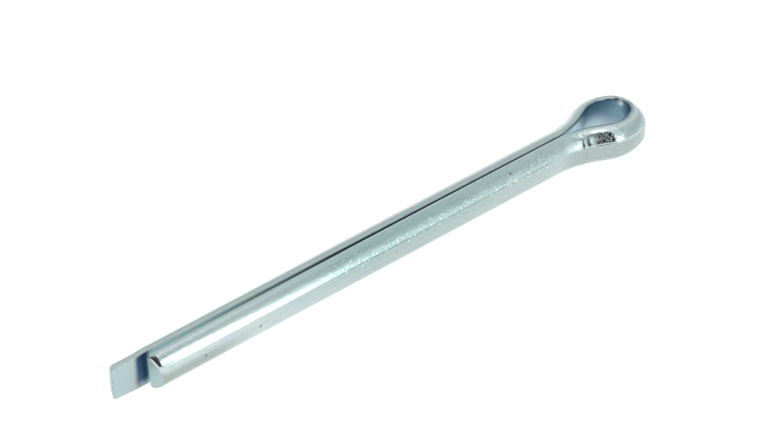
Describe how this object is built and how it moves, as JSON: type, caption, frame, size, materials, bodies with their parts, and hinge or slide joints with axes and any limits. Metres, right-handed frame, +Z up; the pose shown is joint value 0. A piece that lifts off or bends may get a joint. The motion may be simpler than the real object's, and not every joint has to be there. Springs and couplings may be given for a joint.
{
  "type": "cotter pin",
  "caption": "Split cotter pin folded from half-round wire, with a teardrop eye, a slit shank and one leg longer than the other.",
  "frame": {"origin": "on the shank's axis at the neck, where the legs start to part round the eye", "axes": "+X along the shank towards the eye, +Y towards the long leg's side, +Z up through the eye with the pin lying flat"},
  "size_m": [0.072, 0.008, 0.0044],
  "materials": {
    "zinc_plate": "bright bluish zinc plating over drawn steel wire, burnished where the forming die pressed it"
  },
  "bodies": {
    "root": {"split_pin": "zinc_plate"}
  },
  "joints": []
}
